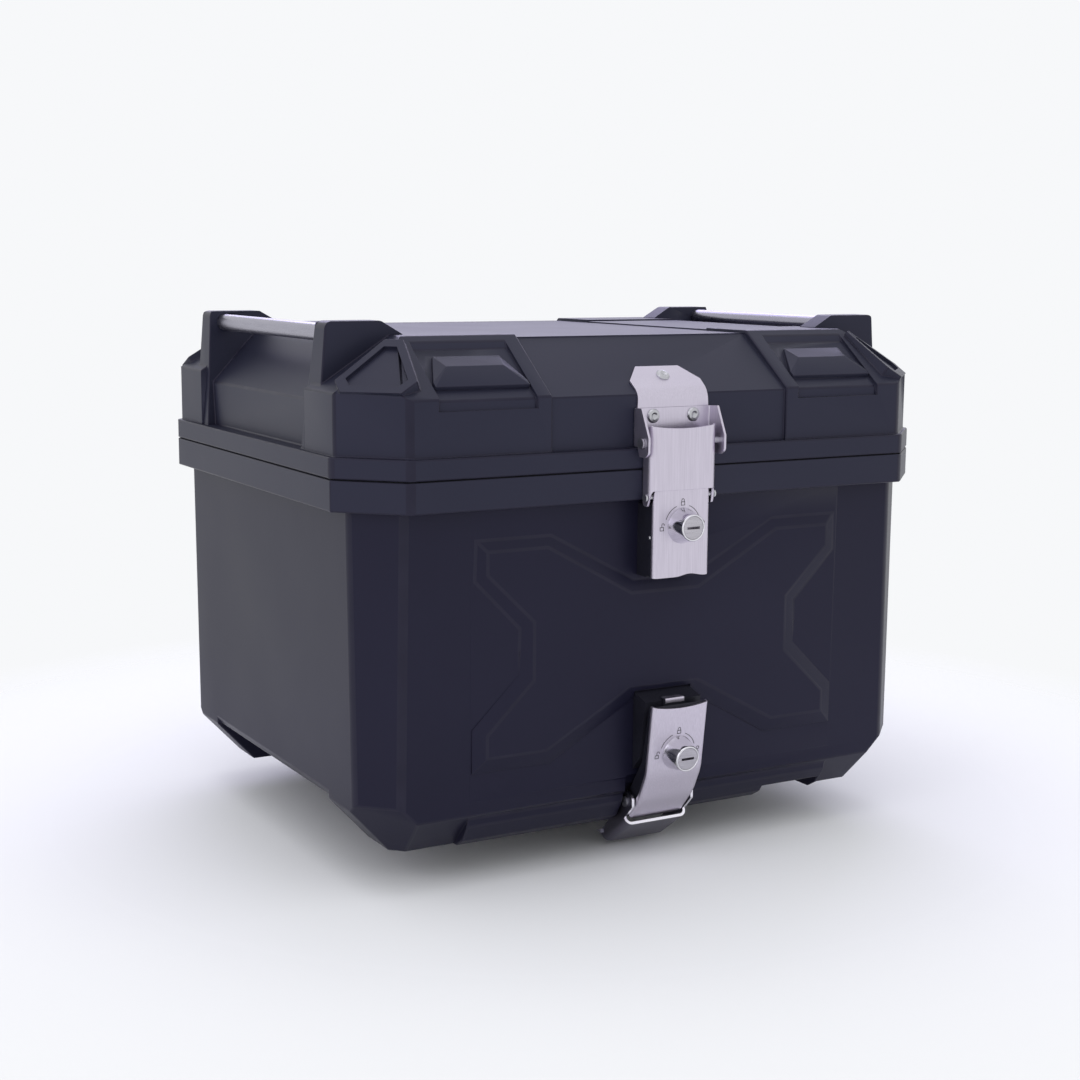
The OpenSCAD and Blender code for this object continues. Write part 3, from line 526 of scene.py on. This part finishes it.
def bracket():
    """Lid bracket: a plate on the wall, two ears bent forwards, and a flap bent back over the roof slope."""
    low_corner, high_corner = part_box("lid_bracket")
    wall, front, bottom = -167 * MM, low_corner.y, low_corner.z
    half, neck, crease = high_corner.x, 26 * MM, 275.5 * MM
    plate_low, plate_high = bottom + 6 * MM, crease - 8.5 * MM
    bend = 2.4 * MM
    outline = rounded_path([[-half, front], [-half, wall], [half, wall], [half, front]], [bend, bend])
    outline, _ = along(outline, np.linspace(0, length(outline), 181))
    x, y = outline[:, 0], outline[:, 1]
    low = np.interp(y, [front, front + 0.7 * MM, front + 4 * MM, front + 10 * MM, front + 12 * MM, wall],
                    [bottom + 4 * MM, bottom + 2 * MM, bottom, bottom, plate_low, plate_low])
    high = np.interp(y, [front, front + 8.5 * MM, wall],
                     [bottom + 12 * MM, plate_high + 0.5 * MM, plate_high])
    share = np.linspace(0, 1, 25)[:, None]
    z = low * (1 - share) + high * share
    points = np.stack([np.broadcast_to(x, z.shape), np.broadcast_to(y, z.shape), z], axis=-1)
    ears = surface("lid_bracket_ears", points)
    # the neck and the flap: half width against the distance up the sheet
    slope = math.atan2(34.5, 46)
    flap, flap_bend = 24 * MM, 9 * MM
    rows, columns = 60, 61
    end = [wall + flap * math.cos(slope), crease + flap * math.sin(slope)]
    run = rounded_path([[wall, plate_high], [wall, crease], end], [flap_bend])
    total = length(run)
    distance = np.linspace(0, total, rows)
    place, _ = along(run, distance)
    up = distance - (total - flap)
    width = np.interp(up, [-8.6 * MM, -7.6 * MM, 0, 11 * MM, 24 * MM],
                      [neck + 0.1 * MM, neck, neck - 0.4 * MM, neck, 15.7 * MM])
    across = np.linspace(-1, 1, columns)
    points = np.stack([width[:, None] * across, np.broadcast_to(place[:, :1], (rows, columns)),
                       np.broadcast_to(place[:, 1:], (rows, columns))], axis=-1)
    strip = surface("lid_bracket_flap", points)
    for piece in (ears, strip):
        wall_of = thicken(piece, SHEET)
        wall_of.modifiers["wall"].offset = 1
    stand_for(ears, "lid_bracket")
    dress(strip, STAINLESS)
    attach(strip, "lid")


def grip_jaw():
    """Pressed steel jaw: a scoop whose floor runs down and back, then up a short wall at its end.

    Rows go from the front opening to the back. Each runs down one side from the ears' outline, round a bend,
    across the floor and up the other side: side points lie between the ears' outline and the bend's top.
    """
    low_corner, high_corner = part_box("grip_jaw")
    half, bend, wall_height, sheet = high_corner.x, 5 * MM, 10.5 * MM, 1.8 * MM
    rows, side_steps, bend_steps, floor_steps = 70, 12, 10, 20
    tip = np.array([high_corner.y - 3.3 * MM, low_corner.z])
    back = np.array([high_corner.y, low_corner.z + wall_height])
    floor_line = rounded_path([[-158.5 * MM, 0.5 * MM], tip, back], [6 * MM], steps=16)
    ear_line = RELEASE_AXIS + np.array([[-7.6, -2], [-7.4, 4.4], [0, 7.4], [6, 3], [9.5, -6]]) * MM
    ear_line = np.concatenate([ear_line, [back - (3 * MM, 0)], [back]])
    ear_line = rounded_path(ear_line, [3 * MM, 4 * MM, 4 * MM, 5 * MM, 0.5 * MM])
    share = np.linspace(0, 1, rows)
    place, heading = along(floor_line, share * length(floor_line))
    ear, _ = along(ear_line, share * length(ear_line))
    inward = np.stack([-heading[:, 1], heading[:, 0]], axis=1)
    side = np.linspace(0, 1, side_steps + 1)[:-1, None, None]
    wall = ear * (1 - side) + (place + inward * bend) * side
    angle = np.linspace(0, math.pi / 2, bend_steps + 1)[:, None, None]
    curve = place + inward * bend * (1 - np.sin(angle))
    left = np.concatenate([wall, curve])
    left_x = np.concatenate([np.full(side_steps, -half), -half + bend * (1 - np.cos(angle[:, 0, 0]))])
    middle_x = np.linspace(left_x[-1], -left_x[-1], floor_steps + 1)[1:-1]
    middle = np.broadcast_to(place, (floor_steps - 1, *place.shape))
    flat = np.concatenate([left, middle, left[::-1]])
    x = np.concatenate([left_x, middle_x, -left_x[::-1]])
    points = np.concatenate([np.broadcast_to(x[:, None, None], (len(x), rows, 1)), flat], axis=-1)
    piece = thicken(surface("grip_jaw_scoop", points), sheet, 0.3 * MM)
    piece.modifiers["wall"].use_even_offset = False
    piece.modifiers["wall"].material_offset_rim = 1
    stand_for(piece, "grip_jaw", DARK_STEEL, POLISHED_RIM)


def release_lever():
    """Release lever cover: a shallow channel carried down a line that sweeps back under the case."""
    low_corner, high_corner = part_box("release_lever_cover")
    half = high_corner.x
    front = low_corner.y
    line = rounded_path(np.array([[front, 82.5 * MM], [front + 5.8 * MM, 37 * MM], [front + 14 * MM, 20 * MM],
                                  [front + 28 * MM, 3.6 * MM]]), [30 * MM, 34 * MM], steps=16)
    total = length(line)
    outline = rounded_path([[-half, 3.5 * MM], [-half, 0], [half, 0], [half, 3.5 * MM]], [2.6 * MM, 2.6 * MM])
    outline, _ = along(outline, np.linspace(0, length(outline), 141))
    x, depth = outline[:, 0], outline[:, 1]
    start = hollow(x, half, 2.2 * MM)
    foot = 4 * MM
    overhang = np.clip(np.abs(x) - (half - foot), 0, foot)
    end = total - (foot - np.sqrt(foot ** 2 - overhang ** 2)) * (depth < 3 * MM)
    share = np.linspace(0, 1, 60)[:, None]
    distance = start * (1 - share) + end * share
    place, heading = along(line, distance)
    y = place[..., 0] - heading[..., 1] * depth
    z = place[..., 1] + heading[..., 0] * depth
    points = np.stack([np.broadcast_to(x, y.shape), y, z], axis=-1)
    piece = thicken(surface("release_lever_sheet", points, turned=True), SHEET)
    stand_for(piece, "release_lever_cover")


# ---------------------------------------------------------------- locks

# Barrel outline, in millimetres: distance from its axis and height over the lever
BARREL = [(7.05, 9.5), (7.05, 11.9), (7.25, 12.3), (7.6, 12.5), (8.0, 12.4), (8.3, 12.0), (8.6, 11.0),
          (9.1, 8.8), (9.7, 6.0), (10.3, 3.4), (10.8, 1.8), (11.1, 1.1), (11.25, 0.6), (11.25, 0.0)]


def barrel(name, node, centre, out):
    """Chrome key barrel: a flared foot, a slightly bellied cone and a rounded lip round the rotor."""
    profile = np.array(BARREL) * MM
    piece = lathe(name, profile, centre, out, (1, 0, 0))
    soft = piece.modifiers.new("smooth", "SUBSURF")
    soft.levels = soft.render_levels = 1
    stand_for(piece, node)


def locks():
    """Both key barrels, each square to the face it sits on."""
    low_corner, high_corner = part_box("latch_barrel")
    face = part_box("latch_lever_cover")[0].y
    barrel("latch_barrel_chrome", "latch_barrel", (0, face, (low_corner.z + high_corner.z) / 2), (0, -1, 0))
    barrel("release_barrel_chrome", "release_barrel", RELEASE_LOCK, RELEASE_OUT)


def arc(radius, start, end, centre=(0, 0), steps=24):
    """Points on a circle between two angles in degrees."""
    angle = np.radians(np.linspace(start, end, steps))
    return np.stack([centre[0] + radius * np.cos(angle), centre[1] + radius * np.sin(angle)], axis=1)


def padlock(x, z, width, lifted):
    """Strokes of a small padlock: a body and a shackle, which is swung to one side when the lock is open."""
    half, height = width / 2, 0.8 * width
    low, high = z - height, z
    bow_radius = 0.36 * width
    shift, rise = (0.34 * width, 0.18 * width) if lifted else (0, 0)
    spring = high + 0.42 * width + rise
    body = [[x - half, low], [x + half, low], [x + half, high], [x - half, high], [x - half, low]]
    strokes = [np.array(body[k:k + 2]) for k in range(4)]
    strokes.append(arc(bow_radius, 0, 180, (x + shift, spring), 16))
    for side in (-1, 1):
        leg = x + shift + side * bow_radius
        foot = high if side == -1 or not lifted else spring - 0.1 * width
        strokes.append(np.array([[leg, spring], [leg, foot]]))
    return strokes


def key_mark(x, z, size):
    """Strokes of a small key: a bow, a blade and two teeth."""
    bow = arc(0.3 * size, 0, 360, (x, z + 0.35 * size), 20)
    blade = np.array([[x, z + 0.05 * size], [x, z - 0.7 * size]])
    teeth = [np.array([[x, z - k * size], [x + 0.28 * size, z - k * size]]) for k in (0.45, 0.68)]
    return [bow, blade, *teeth]


def ribbon(path, width):
    """Flat band along a smooth path in a plane: each point is set off to both sides, square to the path."""
    heading = np.gradient(path, axis=0)
    heading /= np.linalg.norm(heading, axis=1)[:, None]
    ends = np.zeros_like(path)
    ends[0], ends[-1] = -heading[0], heading[-1]
    side = np.stack([-heading[:, 1], heading[:, 0]], axis=1) * width / 2
    path = path + ends * width / 2
    return np.stack([path - side, path + side], axis=0)


def lock_marks(name, body, centre, up, out):
    """Printed marks round a lock: two arcs, a closed padlock above, an open one left and a key right."""
    ring, badge = 12.9 * MM, 14.6 * MM
    strokes = [arc(ring, 112, 160), arc(ring, 20, 68)]
    strokes += padlock(0, badge, 2.5 * MM, False)
    strokes += padlock(-badge - 0.6 * MM, -0.4 * MM, 2.5 * MM, True)
    strokes += key_mark(badge + 0.6 * MM, 0, 3.2 * MM)
    centre, up, out = (np.asarray(v, float) for v in (centre, up, out))
    right = np.array([1.0, 0, 0])
    work = bmesh.new()
    for path in strokes:
        band = ribbon(np.asarray(path, float), 0.42 * MM)
        points = centre + band[..., :1] * right + band[..., 1:] * up + out * 0.03 * MM
        made = [[work.verts.new(p) for p in row] for row in points]
        for a, b, c, d in zip(made[0][:-1], made[0][1:], made[1][1:], made[1][:-1]):
            work.faces.new((a, b, c, d))
    mesh = bpy.data.meshes.new(name)
    work.to_mesh(mesh)
    work.free()
    piece = bpy.data.objects.new(name, mesh)
    bpy.context.scene.collection.objects.link(piece)
    film = piece.modifiers.new("film", "SOLIDIFY")
    film.thickness = 0.04 * MM
    film.offset = 0
    dress(piece, INK)
    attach(piece, body)


def striker():
    """Bent steel cap over the release housing's striker, behind the lever's upper edge."""
    half, front, back, top = 7 * MM, -176.3 * MM, -170.5 * MM, 85.4 * MM
    run = rounded_path([[front, top - 3 * MM], [front, top], [back, top]], [1 * MM])
    across = np.linspace(-half, half, 9)
    points = np.stack([np.broadcast_to(across, (len(run), 9)), np.broadcast_to(run[:, :1], (len(run), 9)),
                       np.broadcast_to(run[:, 1:], (len(run), 9))], axis=-1)
    piece = thicken(surface("release_striker", points), 1 * MM, 0.15 * MM)
    dress(piece, STAINLESS)
    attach(piece, "tub")


def lever_side_pins():
    """Small riveted pin ends on both sides of the draw latch lever."""
    dome = np.array([(0, 0.7), (0.8, 0.62), (1.2, 0.3), (1.3, 0), (1.3, -0.8)]) * MM
    out, y, z = 20.6 * MM, -175.6 * MM, 188 * MM
    for name, side in (("lever_side_pin_left", -1), ("lever_side_pin_right", 1)):
        piece = lathe(name, dome, (side * out, y, z), (side, 0, 0), (0, 1, 0), sides=32)
        dress(piece, ZINC)
        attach(piece, "lever")


# ---------------------------------------------------------------- stage

def floor():
    """Pale floor just under the lowest point of the case, which thins out into the backdrop."""
    low = cad_box[0][2]
    radius = 2.5
    piece = surface("floor", np.array([[[-radius, -radius, low], [radius, -radius, low]],
                                       [[-radius, radius, low], [radius, radius, low]]], float))
    f = Finish("pale_floor", (0.8, 0.805, 0.82), 0.8, Specular_IOR_Level=0.05)
    f.colour_from(f.ramp(f.noise(3, 2), FLOOR_COLOUR[0], FLOOR_COLOUR[1]))
    away = f.tree.nodes.new("ShaderNodeVectorMath")
    away.operation = "LENGTH"
    f.link(f.place, away.inputs[0])
    f.link(f.ramp(away.outputs["Value"], 1, 0, FLOOR_FULL, FLOOR_GONE), f.shader.inputs["Alpha"])
    dress(piece, f.material)


def soft_box(name, place, aim, size, power, colour=(1, 1, 1)):
    """Square area light at a place, turned towards the point it lights."""
    lamp = bpy.data.lights.new(name, "AREA")
    lamp.shape = "RECTANGLE"
    lamp.size, lamp.size_y = size
    lamp.energy = power
    lamp.color = colour
    holder = bpy.data.objects.new(name, lamp)
    holder.location = place
    holder.rotation_euler = (Vector(aim) - Vector(place)).to_track_quat("-Z", "Y").to_euler()
    bpy.context.scene.collection.objects.link(holder)


def studio():
    """Even pale surroundings, a soft overhead light, a weak one from the left and a cool one from behind."""
    world = bpy.data.worlds.new("studio")
    world.use_nodes = True
    sky = world.node_tree.nodes["Background"]
    sky.inputs["Color"].default_value = (*BACKDROP, 1)
    sky.inputs["Strength"].default_value = 1.0
    bpy.context.scene.world = world
    soft_box("overhead", (-0.3, 0.2, 2.2), (0, 0, 0.2), (2.2, 1.6), 6, (0.9, 0.88, 1))
    soft_box("left_side", (-2.2, -0.6, 1.0), (0, 0, 0.15), (1.4, 1.4), 4, (0.85, 0.82, 1))
    soft_box("behind", (1.25, 2.2, 1.65), (0, 0, 0.3), (2.6, 1.0), 26, (0.68, 0.62, 1))
    bpy.context.scene.view_settings.view_transform = "Standard"


def camera():
    """Camera at its place, turned by azimuth and elevation, then rolled about its own line of sight."""
    azimuth, elevation, roll = (math.radians(a) for a in (CAMERA_AZIMUTH, CAMERA_ELEVATION, CAMERA_ROLL))
    back = Vector((math.sin(azimuth) * math.cos(elevation), -math.cos(azimuth) * math.cos(elevation),
                   math.sin(elevation)))
    right = Vector((math.cos(azimuth), math.sin(azimuth), 0))
    up = back.cross(right)
    turned_right = right * math.cos(roll) + up * math.sin(roll)
    turned_up = up * math.cos(roll) - right * math.sin(roll)
    lens = bpy.data.cameras.new("camera")
    lens.lens = CAMERA_LENS
    lens.sensor_width = 36
    holder = bpy.data.objects.new("camera", lens)
    turn = Matrix((turned_right, turned_up, back)).transposed().to_4x4()
    holder.matrix_world = Matrix.Translation(CAMERA_PLACE) @ turn
    bpy.context.scene.collection.objects.link(holder)
    bpy.context.scene.camera = holder


camera()
studio()
floor()
for node, part in frame["nodes"].items():
    dress(part, MATERIAL_OF_SLOT[SLOT_OF_NODE[node]])
mouldings()
grip_jaw()
striker()
lever_side_pins()
latch_link()
latch_lever()
bracket()
release_lever()
locks()
lock_marks("latch_marks", "lever", LATCH_LOCK, (0, 0, 1), (0, -1, 0))
lock_marks("release_marks", "release", RELEASE_LOCK, RELEASE_UP, RELEASE_OUT)

bpy.context.view_layer.update()
